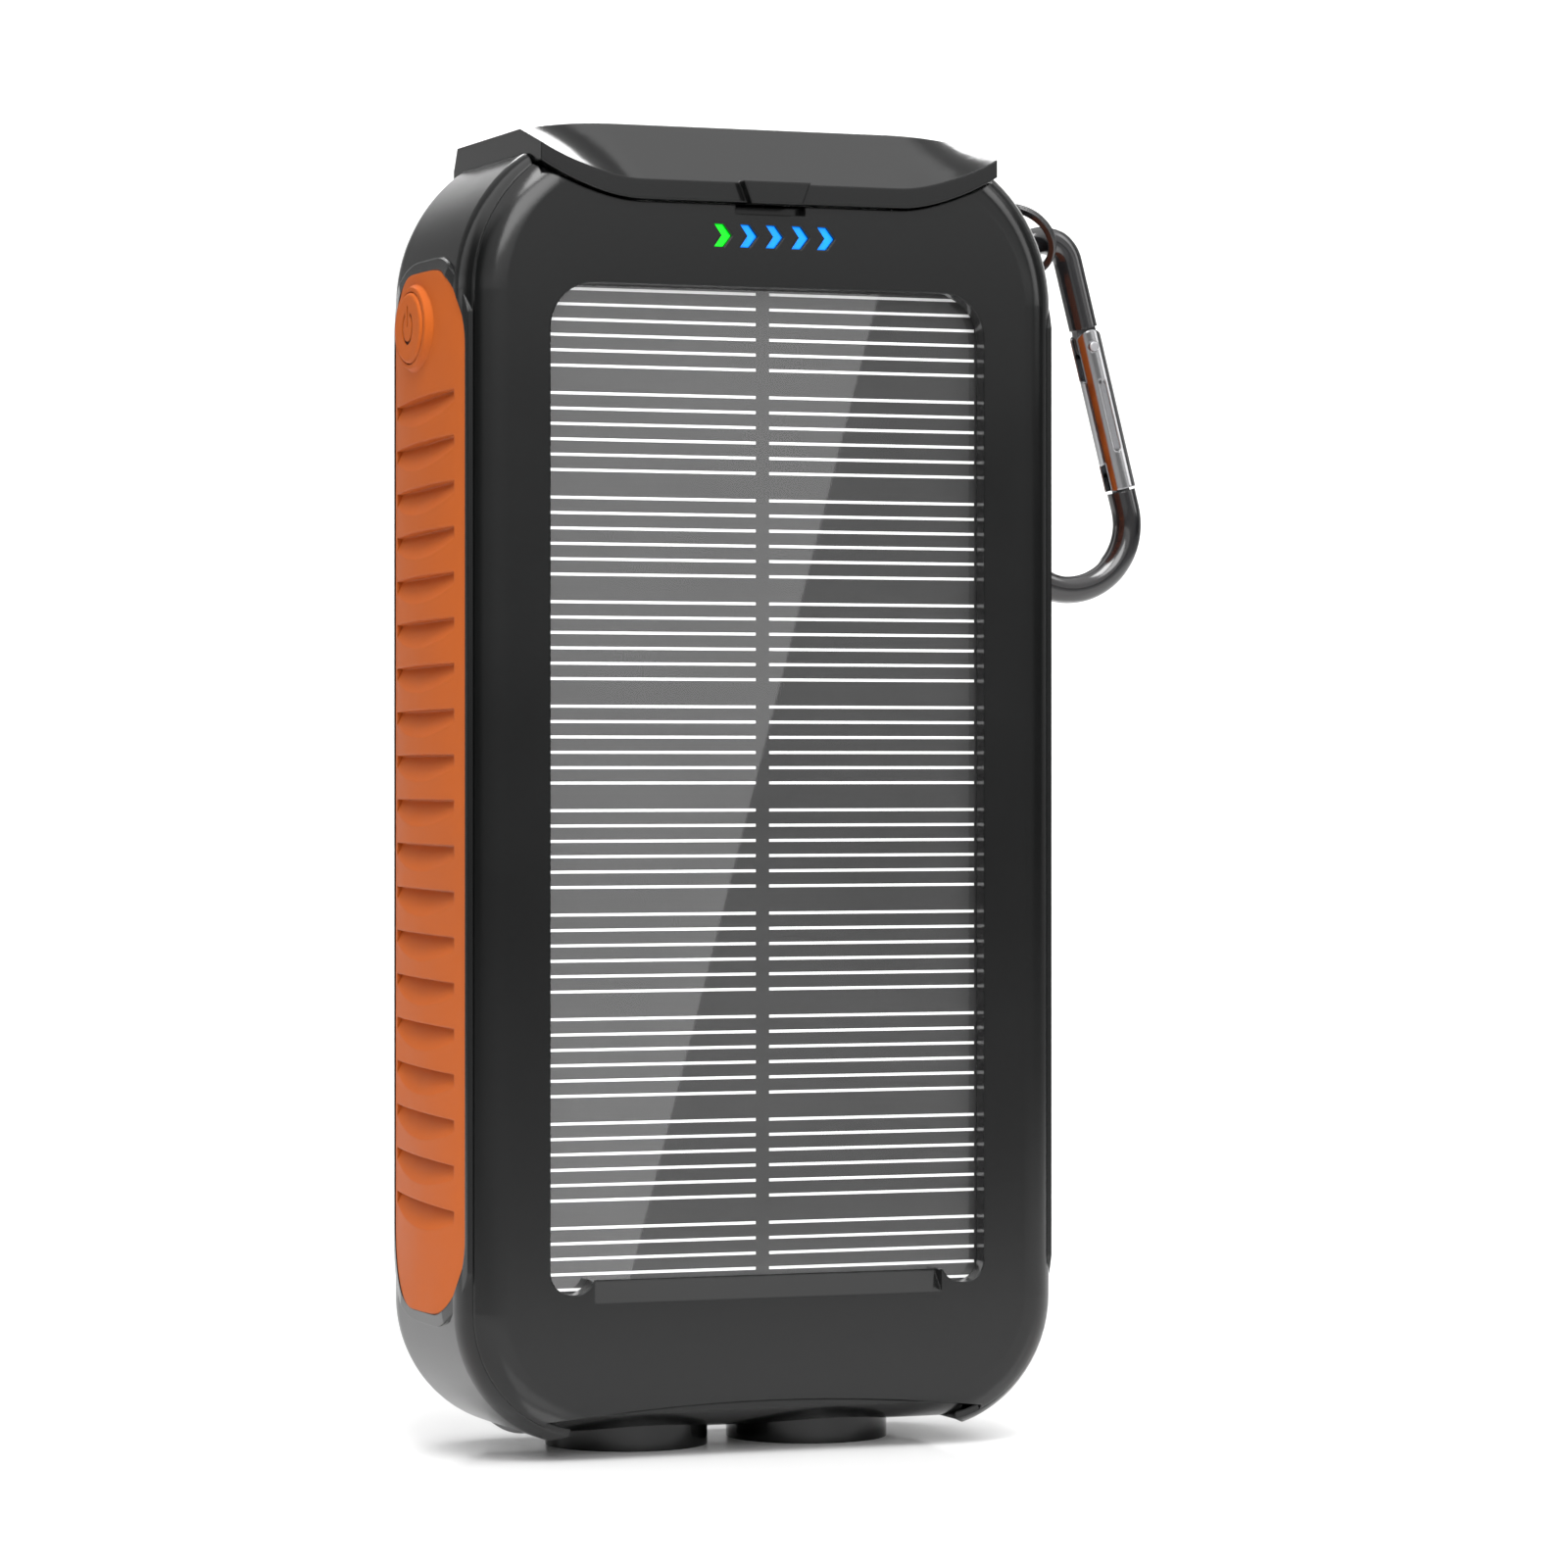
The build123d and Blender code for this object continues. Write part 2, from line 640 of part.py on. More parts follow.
with BuildPart() as port_lid:
    loft([lid_face(lid_slope_depth, False), lid_face(lid_front, True)], ruled=True)
    extrude(lid_face(lid_back, False), amount=lid_back - lid_slope_depth)
    # the back edge is bevelled down to the hinge
    with BuildSketch(side(-40)):
        with BuildLine():
            Polyline((13.4, 160), (16, 160), (16, 153.4), (lid_back - 0.1, 153.4), (13.4, 157.2), close=True)
        make_face()
    extrude(amount=80, mode=Mode.SUBTRACT)
    # hollow over the ports
    with BuildSketch(side(-22.5)):
        with BuildLine():
            Polyline(
                (-14.6, 147),
                (-14.6, 149.3),
                (-8.3, 155.2),
                (10.4, 155.2),
                (10.4, 147),
                close=True,
            )
        make_face()
    extrude(amount=45, mode=Mode.SUBTRACT)
    # hinge knuckle, windows for the lugs and the pin hole
    block((-40, 40), (hinge_depth, 20), (140, hinge_height), Mode.SUBTRACT)
    rod_x(hinge_depth, hinge_height, knuckle_radius, (-lid_end, lid_end))
    for x in (-lug_centre, lug_centre):
        gap = lug_half + 0.25
        block((x - gap, x + gap), (hinge_depth - 2.7, 20), (140, 152.7), Mode.SUBTRACT)
    rod_x(hinge_depth, hinge_height, pin_radius + 0.05, (-14.3, 14.3), Mode.SUBTRACT)
    # finger tab
    with BuildSketch(front(lid_front + 0.6)):
        with BuildLine():
            tab_top = lid_edge + 2.4
            tab_tip = lid_edge - 0.2
            Polyline((-4.2, tab_top), (4.2, tab_top), (3.2, tab_tip), (-3.2, tab_tip), close=True)
        make_face()
    extrude(amount=2.2)
port_lid.part.label = "port_lid"
export_step(port_lid.part, "parts/port_lid.step")

with BuildPart() as port_seal:
    block((-21.5, 21.5), (-7.8, 9.6), (153.9, 155.2))
    for x in usb_a_places:
        rounded_block((x - 5.9, x + 5.9), (board_back + 0.6, board_back + 5.1), (lid_edge + 0.1, 154.5), 0.8)
    rounded_block((-3.9, 3.9), (board_back + 0.6, board_back + 2.7), (lid_edge + 0.1, 154.5), 0.8)
port_seal.part.label = "port_seal"
export_step(port_seal.part, "parts/port_seal.step")

with BuildPart() as lid_hinge_pin:
    rod_x(hinge_depth, hinge_height, pin_radius, (-14, 14))
lid_hinge_pin.part.label = "lid_hinge_pin"
export_step(lid_hinge_pin.part, "parts/lid_hinge_pin.step")

# ---- lamps ----
with BuildPart() as lamp_panel:
    # a plate that bulges outwards between the front and back edges
    with BuildSketch(side(-lamp_panel_half)):
        with BuildLine():
            near, far = lamp_panel_depth
            ThreePointArc((near, 5.4), (middle(lamp_panel_depth), 2.0), (far, 3.6))
            Polyline((far, 3.6), (far, 9.4), (near, 9.4), (near, 5.4))
        make_face()
    extrude(amount=2 * lamp_panel_half)
    # the front lip passes under the front frame
    with BuildPart(mode=Mode.PRIVATE) as lip:
        block((-27.4, 27.4), (near - 1, -13.9), (-5, 12))
        extrude(lamp_recess_face(0, 0.1), amount=40, mode=Mode.SUBTRACT)
    add(lip.part, mode=Mode.SUBTRACT)
    with BuildSketch(level(0)):
        with Locations((0, middle(lamp_panel_depth))):
            RectangleRounded(2 * lamp_panel_half, span(lamp_panel_depth), 5)
    extrude(amount=12, mode=Mode.INTERSECT)
    block((-lamp_panel_half + 2, lamp_panel_half - 2), (-12, far - 2), (6.4, 12), Mode.SUBTRACT)
    for x in lamp_places:
        rod_z(x, lamp_depth, lamp_radius + 0.05, (-1, 12), Mode.SUBTRACT)
lamp_panel.part.label = "lamp_panel"
export_step(lamp_panel.part, "parts/lamp_panel.step")

for name, x in zip(lamp_names, lamp_places):
    bore = lamp_radius - lamp_wall
    with BuildPart() as lamp_barrel:
        rod_z(x, lamp_depth, lamp_radius, (0, 13.0))
        rod_z(x, lamp_depth, bore, (-1, 14), Mode.SUBTRACT)
        rim_edges = lamp_barrel.edges().filter_by(GeomType.CIRCLE).group_by(Axis.Z)[0]
        chamfer(rim_edges.sort_by(SortBy.RADIUS)[0], 0.5)
    lamp_barrel.part.label = "lamp_barrel_" + name
    export_step(lamp_barrel.part, "parts/lamp_barrel_" + name + ".step")

    with BuildPart() as lamp_bezel:
        with BuildSketch(Plane(origin=place(x, lamp_depth, 0), x_dir=(1, 0, 0), z_dir=(0, -1, 0))):
            with BuildLine():
                Polyline((bore, 0.7), (bore, 2.6), (bore - 0.9, 2.6), (bore - 1.5, 1.6), close=True)
            make_face()
        revolve(axis=Axis(place(x, lamp_depth, 0), (0, 0, 1)))
    lamp_bezel.part.label = "lamp_bezel_" + name
    export_step(lamp_bezel.part, "parts/lamp_bezel_" + name + ".step")

    with BuildPart() as lamp_lens:
        rod_z(x, lamp_depth, bore, (2.6, 3.6))
    lamp_lens.part.label = "lamp_lens_" + name
    export_step(lamp_lens.part, "parts/lamp_lens_" + name + ".step")

    with BuildPart() as lamp_reflector:
        with BuildSketch(Plane(origin=place(x, lamp_depth, 0), x_dir=(1, 0, 0), z_dir=(0, -1, 0))):
            with BuildLine():
                Spline((bore - 0.2, 3.6), (6.2, 7.2), (2.6, 12.0))
                Line((2.6, 12.0), (3.3, 12.0))
                Spline((3.3, 12.0), (6.9, 7.6), (bore, 4.4))
                Polyline((bore, 4.4), (bore, 3.6), (bore - 0.2, 3.6))
            make_face()
        revolve(axis=Axis(place(x, lamp_depth, 0), (0, 0, 1)))
    lamp_reflector.part.label = "lamp_reflector_" + name
    export_step(lamp_reflector.part, "parts/lamp_reflector_" + name + ".step")

with BuildPart() as lamp_leds:
    for x in lamp_places:
        block((x - 1.7, x + 1.7), (lamp_depth - 1.7, lamp_depth + 1.7), (12.1, 13.0))
lamp_leds.part.label = "lamp_leds"
export_step(lamp_leds.part, "parts/lamp_leds.step")

with BuildPart() as lamp_board:
    block((-23, 23), (-9.5, 12), (13.0, 14.6))
lamp_board.part.label = "lamp_board"
export_step(lamp_board.part, "parts/lamp_board.step")

# ---- grips and power button ----
for name, way in (("left", -1), ("right", 1)):
    with BuildPart() as grip:
        extrude(crowned_face(way, grip_floor, 0, grip_bottom - 3), amount=140)
        extrude(grip_face(0, -60), amount=120, mode=Mode.INTERSECT)
        # scooped ribs: a sharp step at the top edge, then a ramp back out
        for rib in range(rib_count):
            height = rib_top - rib * rib_pitch
            lean = rib_fan * (rib - (rib_count - 1) / 2) / ((rib_count - 1) / 2)
            with BuildSketch(front(grip_back - 1.3), mode=Mode.PRIVATE) as scoop:
                with BuildLine():
                    Polyline(
                        (way * (grip_crown - rib_depth), height),
                        (way * (grip_crown + 0.4), height + 0.15),
                        (way * (grip_crown + 0.4), height - rib_length - 0.8),
                        (way * (grip_crown - rib_depth), height),
                    )
                make_face()
            pivot = Axis(place(0, -1, height), (1, 0, 0))
            with BuildPart(mode=Mode.PRIVATE) as cutter:
                extrude(scoop.sketch, amount=grip_back - grip_front - 4.2)
            add(cutter.part.rotate(pivot, lean), mode=Mode.SUBTRACT)
        if way < 0:
            # soft mound round the power button
            with BuildPart(mode=Mode.PRIVATE) as mound:
                with BuildSketch(side(-grip_crown + 0.8)):
                    with Locations((button_depth, button_height)):
                        Ellipse(button_half_depth + 2.2, button_half_height + 1.4)
                with BuildSketch(side(-grip_crown - 0.7)):
                    with Locations((button_depth, button_height)):
                        Ellipse(button_half_depth + 0.8, button_half_height + 0.6)
                loft()
            add(mound.part)
            with BuildSketch(side(-50), mode=Mode.PRIVATE) as button_hole:
                with Locations((button_depth, button_height)):
                    Ellipse(button_half_depth + 0.1, button_half_height + 0.1)
            extrude(button_hole.sketch, amount=20, mode=Mode.SUBTRACT)
    grip.part.label = "grip_" + name
    export_step(grip.part, "parts/grip_" + name + ".step")

with BuildPart() as power_button:
    with BuildSketch(side(-grip_floor - 0.5)):
        with Locations((button_depth, button_height)):
            Ellipse(button_half_depth, button_half_height)
    extrude(amount=-(button_face - grip_floor - 0.5))
    fillet(power_button.faces().sort_by(Axis.X)[0].edges(), 0.5)
    rod_x(button_depth, button_height, 1.6, (-grip_floor - 0.6, -34.15))
    # engraved power sign: a broken ring with a stroke through the gap
    with BuildSketch(side(-button_face - 0.1)):
        with Locations((button_depth, button_height)):
            Circle(2.0)
            Circle(1.6, mode=Mode.SUBTRACT)
        with Locations((button_depth, button_height + 1.7)):
            Rectangle(1.6, 1.8, mode=Mode.SUBTRACT)
        with Locations((button_depth, button_height + 1.4)):
            Rectangle(0.4, 2.4)
    extrude(amount=0.45, mode=Mode.SUBTRACT)
power_button.part.label = "power_button"
export_step(power_button.part, "parts/power_button.step")

# ---- lanyard ring and carabiner ----
with BuildPart() as lanyard_bar:
    rod_y(bar_x, bar_height, bar_radius, (lanyard_ears[0][0] + 0.3, lanyard_ears[1][1] - 0.3))
lanyard_bar.part.label = "lanyard_bar"
export_step(lanyard_bar.part, "parts/lanyard_bar.step")

slope = math.radians(ring_slope)
turn = math.radians(ring_turn)
ring_along = Vector(math.cos(slope), 0, -math.sin(slope))
ring_across = Vector(math.sin(slope) * math.sin(turn), -math.cos(turn), math.cos(slope) * math.sin(turn))
ring_normal = ring_along.cross(ring_across)
with BuildPart() as split_ring:
    # two flat turns lying on each other
    with BuildSketch(Plane(origin=place(*ring_centre), x_dir=ring_along, z_dir=ring_across)):
        for shift in (-1, 1):
            with Locations((ring_radius, shift * ring_wire / 2)):
                RectangleRounded(1.8 * ring_wire, ring_wire - 0.04, 0.14)
        with Locations((ring_radius, 0)):
            Rectangle(ring_wire, ring_wire)
    revolve(axis=Axis(place(*ring_centre), ring_normal))
split_ring.part.label = "split_ring"
export_step(split_ring.part, "parts/split_ring.step")


def flat(point):
    return (point.X, point.Y)


def along_gate(share, shift=0):
    """Point on the straight outer side of the clip, shifted towards the gate's foot."""
    start = Vector(*outer_top)
    end = Vector(*outer_low)
    return flat(start + (end - start) * share + (end - start).normalized() * shift)


def tangent_points(way):
    """Where the straight side on one side of the clip touches its top and bottom bends."""
    top = Vector(*clip_top)
    low = Vector(*clip_low)
    along = (low - top).normalized()
    across = Vector(-along.Y, along.X) * way
    lean = (clip_low_radius - clip_top_radius) / (low - top).length
    normal = across * math.sqrt(1 - lean ** 2) - along * lean
    return flat(top + normal * clip_top_radius), flat(low + normal * clip_low_radius)


outer_top, outer_low = tangent_points(1)
inner_top, inner_low = tangent_points(-1)
crown_point = flat(Vector(*clip_top) + Vector(0.3, 1).normalized() * clip_top_radius)
foot_point = flat(Vector(*clip_low) + Vector(0.1, -1).normalized() * clip_low_radius)
gate_angle = math.degrees(math.atan2(outer_low[1] - outer_top[1], outer_low[0] - outer_top[0]))
gate_pivot = along_gate(gate_from, 2.4)


def along_strip(start, end, radius, depth, mode=Mode.ADD):
    """Flat strip with round ends between two points of the clip's front view."""
    run = Vector(*end) - Vector(*start)
    with BuildSketch(front(depth[1]), mode=Mode.PRIVATE) as strip:
        with Locations(Location(((start[0] + end[0]) / 2, (start[1] + end[1]) / 2, 0), (0, 0, gate_angle))):
            SlotCenterToCenter(run.length, 2 * radius)
    extrude(strip.sketch, amount=span(depth), mode=mode)


with BuildPart() as carabiner_frame:
    with BuildLine(front(clip_depth)) as clip_path:
        Line(along_gate(gate_from), outer_top)
        ThreePointArc(outer_top, crown_point, inner_top)
        Line(inner_top, inner_low)
        ThreePointArc(inner_low, foot_point, outer_low)
        Line(outer_low, along_gate(gate_to))
    with BuildSketch(Plane(origin=clip_path.line @ 0, z_dir=clip_path.line % 0)):
        Circle(clip_wire)
    sweep()
    # tongue that carries the gate pin, and the nose that stops the gate
    along_strip(along_gate(gate_from, -0.5), gate_pivot, 1.3, (clip_depth - 0.8, clip_depth + 0.8))
    nose_depth = (clip_depth - 0.7, clip_depth + 0.7)
    along_strip(along_gate(gate_to, 0.5), along_gate(gate_to, -1.6), 0.9, nose_depth)
    rod_y(gate_pivot[0], gate_pivot[1], gate_pin_radius, (0, 20), Mode.SUBTRACT)
carabiner_frame.part.label = "carabiner_frame"
export_step(carabiner_frame.part, "parts/carabiner_frame.step")

with BuildPart() as gate_pin:
    rod_y(gate_pivot[0], gate_pivot[1], gate_pin_radius, (clip_depth - 2.1, clip_depth + 2.1))
gate_pin.part.label = "gate_pin"
export_step(gate_pin.part, "parts/gate_pin.step")

with BuildPart() as carabiner_gate:
    with BuildLine(front(clip_depth)) as gate_path:
        Line(along_gate(gate_from, gate_gap), along_gate(gate_to, -gate_gap))
    with BuildSketch(Plane(origin=gate_path.line @ 0, z_dir=gate_path.line % 0)):
        Circle(gate_radius)
    sweep()
    # heel rounded about the pin, so that it clears the clip's end as the gate swings
    with BuildPart(mode=Mode.PRIVATE) as heel:
        along_strip(along_gate(gate_from, -3), gate_pivot, 3, (0, 20))
        along_strip(gate_pivot, along_gate(gate_from, 9), 2.1, (-1, 21), Mode.SUBTRACT)
    add(heel.part, mode=Mode.SUBTRACT)
    # slots for the tongue and the nose, a long slot between the gate's two rails
    slot = (clip_depth - 0.95, clip_depth + 0.95)
    along_strip(along_gate(gate_from, -4), along_gate(gate_from, 4.6), 2.6, slot, Mode.SUBTRACT)
    along_strip(along_gate(gate_to, 4), along_gate(gate_to, -1.9), 2.6, slot, Mode.SUBTRACT)
    along_strip(along_gate(gate_from, 7), along_gate(gate_to, -5.5), 0.45, (0, 20), Mode.SUBTRACT)
    rod_y(gate_pivot[0], gate_pivot[1], gate_pin_radius + 0.05, (0, 20), Mode.SUBTRACT)
carabiner_gate.part.label = "carabiner_gate"
export_step(carabiner_gate.part, "parts/carabiner_gate.step")
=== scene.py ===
"""Studio picture of a solar phone charger that stands on its two lamps, with its carabiner hanging at the right.

Lengths are in metres, +Z is up and the solar panel faces -Y.
"""

import json
import math

import bpy
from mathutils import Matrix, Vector


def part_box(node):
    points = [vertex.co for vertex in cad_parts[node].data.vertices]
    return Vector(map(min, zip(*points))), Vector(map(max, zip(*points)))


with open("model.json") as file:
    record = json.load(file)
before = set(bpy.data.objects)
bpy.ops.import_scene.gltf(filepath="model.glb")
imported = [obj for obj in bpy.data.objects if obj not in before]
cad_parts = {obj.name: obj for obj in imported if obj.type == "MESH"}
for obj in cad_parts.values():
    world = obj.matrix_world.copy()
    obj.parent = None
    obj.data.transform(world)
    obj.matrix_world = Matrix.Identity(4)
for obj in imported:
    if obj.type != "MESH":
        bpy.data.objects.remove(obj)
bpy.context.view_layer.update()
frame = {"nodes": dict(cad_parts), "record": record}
nodes = frame["nodes"]
scene = bpy.context.scene
scene.view_settings.view_transform = "Standard"
scene.view_settings.look = "None"

FLOOR = -0.080  # height of the lamp rims
WHITE = (1, 1, 1)
forward = Vector((0.3633, 0.9317, 0)).normalized()  # the way the camera looks
right = Vector((0.9317, -0.3633, 0)).normalized()
backward = Vector((0, 1, 0))  # from the front of the case to its back

# input and output places of a colour mix node
MIX_FACTOR, MIX_A, MIX_B, MIX_RESULT = 0, 6, 7, 2


# ---------------------------------------------------------------- materials
def new_material(name):
    mat = bpy.data.materials.new(name)
    mat.use_nodes = True
    mat.node_tree.nodes.clear()
    return mat, mat.node_tree


def maths(tree, operation, *values, clamp=False):
    """The result of a math node. Each value is a number or an output of another node."""
    node = tree.nodes.new("ShaderNodeMath")
    node.operation = operation
    node.use_clamp = clamp
    for place, value in zip(node.inputs, values):
        if isinstance(value, (int, float)):
            place.default_value = value
        else:
            tree.links.new(value, place)
    return node.outputs["Value"]


def mix_colours(tree, factor, a, b):
    """Colour a where the factor is 0 and b where it is 1. Each is a triple or an output of another node."""
    mix = tree.nodes.new("ShaderNodeMix")
    mix.data_type = "RGBA"
    tree.links.new(factor, mix.inputs[MIX_FACTOR])
    for place, colour in ((MIX_A, a), (MIX_B, b)):
        if isinstance(colour, tuple):
            mix.inputs[place].default_value = (*colour, 1)
        else:
            tree.links.new(colour, mix.inputs[place])
    return mix.outputs[MIX_RESULT]


def mix_shaders(tree, a, b):
    """Send a mix of two shader nodes to the material's output, and return the input for its factor."""
    mix = tree.nodes.new("ShaderNodeMixShader")
    out = tree.nodes.new("ShaderNodeOutputMaterial")
    tree.links.new(a.outputs["BSDF"], mix.inputs[1])
    tree.links.new(b.outputs["BSDF"], mix.inputs[2])
    tree.links.new(mix.outputs["Shader"], out.inputs["Surface"])
    return mix.inputs["Fac"]


def object_place(tree):
    """The shaded place, in the frame of the part."""
    return tree.nodes.new("ShaderNodeTexCoord").outputs["Object"]


def noise(tree, scale, detail, stretch=(1, 1, 1)):
    mapping = tree.nodes.new("ShaderNodeMapping")
    mapping.inputs["Scale"].default_value = stretch
    tex = tree.nodes.new("ShaderNodeTexNoise")
    tex.inputs["Scale"].default_value = scale
    tex.inputs["Detail"].default_value = detail
    tree.links.new(object_place(tree), mapping.inputs["Vector"])
    tree.links.new(mapping.outputs["Vector"], tex.inputs["Vector"])
    return tex.outputs["Fac"]


def map_range(tree, value, source, target, easing="LINEAR"):
    """The value carried from the source range over to the target range."""
    node = tree.nodes.new("ShaderNodeMapRange")
    node.interpolation_type = easing
    for name, number in zip(("From Min", "From Max", "To Min", "To Max"), (*source, *target)):
        node.inputs[name].default_value = number
    tree.links.new(value, node.inputs["Value"])
    return node.outputs["Result"]


def spread(tree, pattern, low, high):
    """The middle part of a noise pattern, stretched over low to high."""
    return map_range(tree, pattern, (0.3, 0.7), (low, high))


def two_colours(tree, pattern, a, b):
    return mix_colours(tree, spread(tree, pattern, 0, 1), a, b)


def surface(
    name,
    colour,
    rough,
    metal=0.0,
    vary=0.12,
    grain=2500,
    depth=0.00002,
    strength=0.25,
    edge=0.0003,
    coat=0.0,
    specular=0.5,
    lamp_and_painted_glow=None,
    stretch=(1, 1, 1),
):
    """A finish whose colour and gloss drift a little, with a fine grain and slightly rounded edges."""
    mat, tree = new_material(name)
    out = tree.nodes.new("ShaderNodeOutputMaterial")
    bsdf = tree.nodes.new("ShaderNodeBsdfPrincipled")
    broad = noise(tree, 45, 4)
    dark = tuple(c * (1 - vary) for c in colour)
    light = tuple(min(1, c * (1 + vary)) for c in colour)
    tree.links.new(two_colours(tree, broad, dark, light), bsdf.inputs["Base Color"])
    tree.links.new(spread(tree, broad, rough * 0.85, rough * 1.15), bsdf.inputs["Roughness"])
    bevel = tree.nodes.new("ShaderNodeBevel")
    bevel.samples = 4
    bevel.inputs["Radius"].default_value = edge
    bump = tree.nodes.new("ShaderNodeBump")
    bump.inputs["Strength"].default_value = strength
    bump.inputs["Distance"].default_value = depth
    tree.links.new(noise(tree, grain, 2, stretch), bump.inputs["Height"])
    tree.links.new(bevel.outputs["Normal"], bump.inputs["Normal"])
    tree.links.new(bump.outputs["Normal"], bsdf.inputs["Normal"])
    bsdf.inputs["Metallic"].default_value = metal
    bsdf.inputs["Coat Weight"].default_value = coat
    bsdf.inputs["Coat Roughness"].default_value = 0.06
    bsdf.inputs["Specular IOR Level"].default_value = specular
    # an emission: a real lamp for the indicators, painted light for the grid lines
    if lamp_and_painted_glow:
        glow_colour, glow_strength = lamp_and_painted_glow
        bsdf.inputs["Emission Color"].default_value = (*glow_colour, 1)
        bsdf.inputs["Emission Strength"].default_value = glow_strength
    tree.links.new(bsdf.outputs["BSDF"], out.inputs["Surface"])
    return mat


def clear(name, tint, ior, rough, haze=0.0):
    """A clear plastic: light passes straight through, and its outer side reflects more at a glancing angle."""
    mat, tree = new_material(name)
    through = tree.nodes.new("ShaderNodeBsdfTransparent")
    through.inputs["Color"].default_value = (*tint, 1)
    gloss = tree.nodes.new("ShaderNodeBsdfPrincipled")
    gloss.inputs["Base Color"].default_value = (*WHITE, 1)
    gloss.inputs["Metallic"].default_value = 1.0
    tree.links.new(spread(tree, noise(tree, 120, 3), rough * 0.8, rough * 1.2), gloss.inputs["Roughness"])
    fresnel = tree.nodes.new("ShaderNodeFresnel")
    fresnel.inputs["IOR"].default_value = ior
    inner_side = tree.nodes.new("ShaderNodeNewGeometry").outputs["Backfacing"]
    reflected = maths(tree, "ADD", fresnel.outputs["Fac"], haze, clamp=True)
    outer_side = maths(tree, "SUBTRACT", 1.0, inner_side)
    tree.links.new(maths(tree, "MULTIPLY", reflected, outer_side), mix_shaders(tree, through, gloss))
    return mat


def orange_rubber(name):
    return surface(
        name, (0.49, 0.098, 0.007), 0.6, vary=0.05, grain=5200, strength=0.35, edge=0.0004, specular=0.25
    )


looks = {
    "case_black": surface("case_black", (0.004, 0.0042, 0.0042), 0.16, grain=1800, strength=0.05, specular=0.42),
    "panel_black": surface("panel_black", (0.02, 0.02, 0.021), 0.5),
    "seal_rubber": surface("seal_rubber", (0.018, 0.018, 0.018), 0.7, edge=0.0002),
    "grip_orange": orange_rubber("grip_orange"),
    "steel": surface("steel", (0.58, 0.58, 0.6), 0.3, 1.0, grain=900, stretch=(1, 1, 8)),
    "clear_resin": clear("clear_resin", (0.95, 0.95, 0.95), 1.6, 0.02),
    "cell_grey": surface(
        "cell_grey", (0.034, 0.034, 0.034), 0.45, vary=0.10, grain=2600, depth=0.00004, edge=0.0001
    ),
    # painted light: the grid lines glow a little, though they are no lamp, to look brighter
    "grid_white": surface("grid_white", (0.94, 0.94, 0.94), 0.45, vary=0.03, edge=0.00003, lamp_and_painted_glow=(WHITE, 0.22)),
    "board_green": surface("board_green", (0.02, 0.15, 0.06), 0.4),
    "indicator_green_glow": surface(
        "indicator_green_glow", (0.0, 0.6, 0.0), 0.25, edge=0.0002, lamp_and_painted_glow=((0.0, 0.9, 0.02), 1.0)
    ),
    "indicator_blue_glow": surface(
        "indicator_blue_glow", (0.0, 0.2, 0.8), 0.25, edge=0.0002, lamp_and_painted_glow=((0.0, 0.22, 1.0), 1.0)
    ),
    "led_white": surface("led_white", (0.85, 0.75, 0.35), 0.4, edge=0.0001),
    "tongue_black": surface("tongue_black", (0.015, 0.015, 0.015), 0.4),
    "chip_black": surface("chip_black", (0.03, 0.03, 0.03), 0.45),
    "pouch_foil": surface("pouch_foil", (0.6, 0.61, 0.62), 0.35, 1.0, grain=400, depth=0.0001),
    "lamp_chrome": surface("lamp_chrome", (0.82, 0.82, 0.84), 0.10, 1.0, strength=0.04),
    "lamp_clear": clear("lamp_clear", (0.95, 0.97, 0.98), 1.52, 0.02, 0.02),
    "clip_black": surface("clip_black", (0.010, 0.010, 0.011), 0.16, coat=0.6, grain=900, strength=0.05),
    "gate_chrome": surface("gate_chrome", (0.40, 0.40, 0.41), 0.13, 1.0, grain=1200, strength=0.05),
}
for entry in frame["record"]["subparts"]:
    materials = nodes[entry["node"]].data.materials
    materials.clear()
    materials.append(looks[entry["material_slot"]])

# a hair's gap between the clear cover and the cells under it
gap = nodes["solar_cover"].modifiers.new("gap", "DISPLACE")
gap.mid_level = 0.0
gap.strength = -0.00003

# painted shade: the power sign's engraved lines, which lie below the button's face and near its middle, are
# painted darker, as shade in the grooves
SIGN_DEPTH = 0.00015
SIGN_REACH = 0.0030
SIGN_PAINTED_SHADE = (0.10, 0.025, 0.006)
sign = orange_rubber("power_sign")
sign_tree = sign.node_tree
button_low, button_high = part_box("power_button")
button_middle = (button_low + button_high) / 2
along_axes = sign_tree.nodes.new("ShaderNodeSeparateXYZ")
sign_tree.links.new(object_place(sign_tree), along_axes.inputs["Vector"])
from_middle = sign_tree.nodes.new("ShaderNodeVectorMath")
from_middle.operation = "DISTANCE"
from_middle.inputs[1].default_value = (button_low.x, button_middle.y, button_middle.z)
sign_tree.links.new(object_place(sign_tree), from_middle.inputs[0])
sunk = maths(sign_tree, "GREATER_THAN", along_axes.outputs["X"], button_low.x + SIGN_DEPTH)
near = maths(sign_tree, "LESS_THAN", from_middle.outputs["Value"], SIGN_REACH)
groove_shade_mask = maths(sign_tree, "MULTIPLY", sunk, near)
base = next(n for n in sign_tree.nodes if n.type == "BSDF_PRINCIPLED").inputs["Base Color"]
# painted shade in the sign's grooves
shaded_sign_colour = mix_colours(sign_tree, groove_shade_mask, base.links[0].from_socket, SIGN_PAINTED_SHADE)
sign_tree.links.new(shaded_sign_colour, base)
nodes["power_button"].data.materials[0] = sign

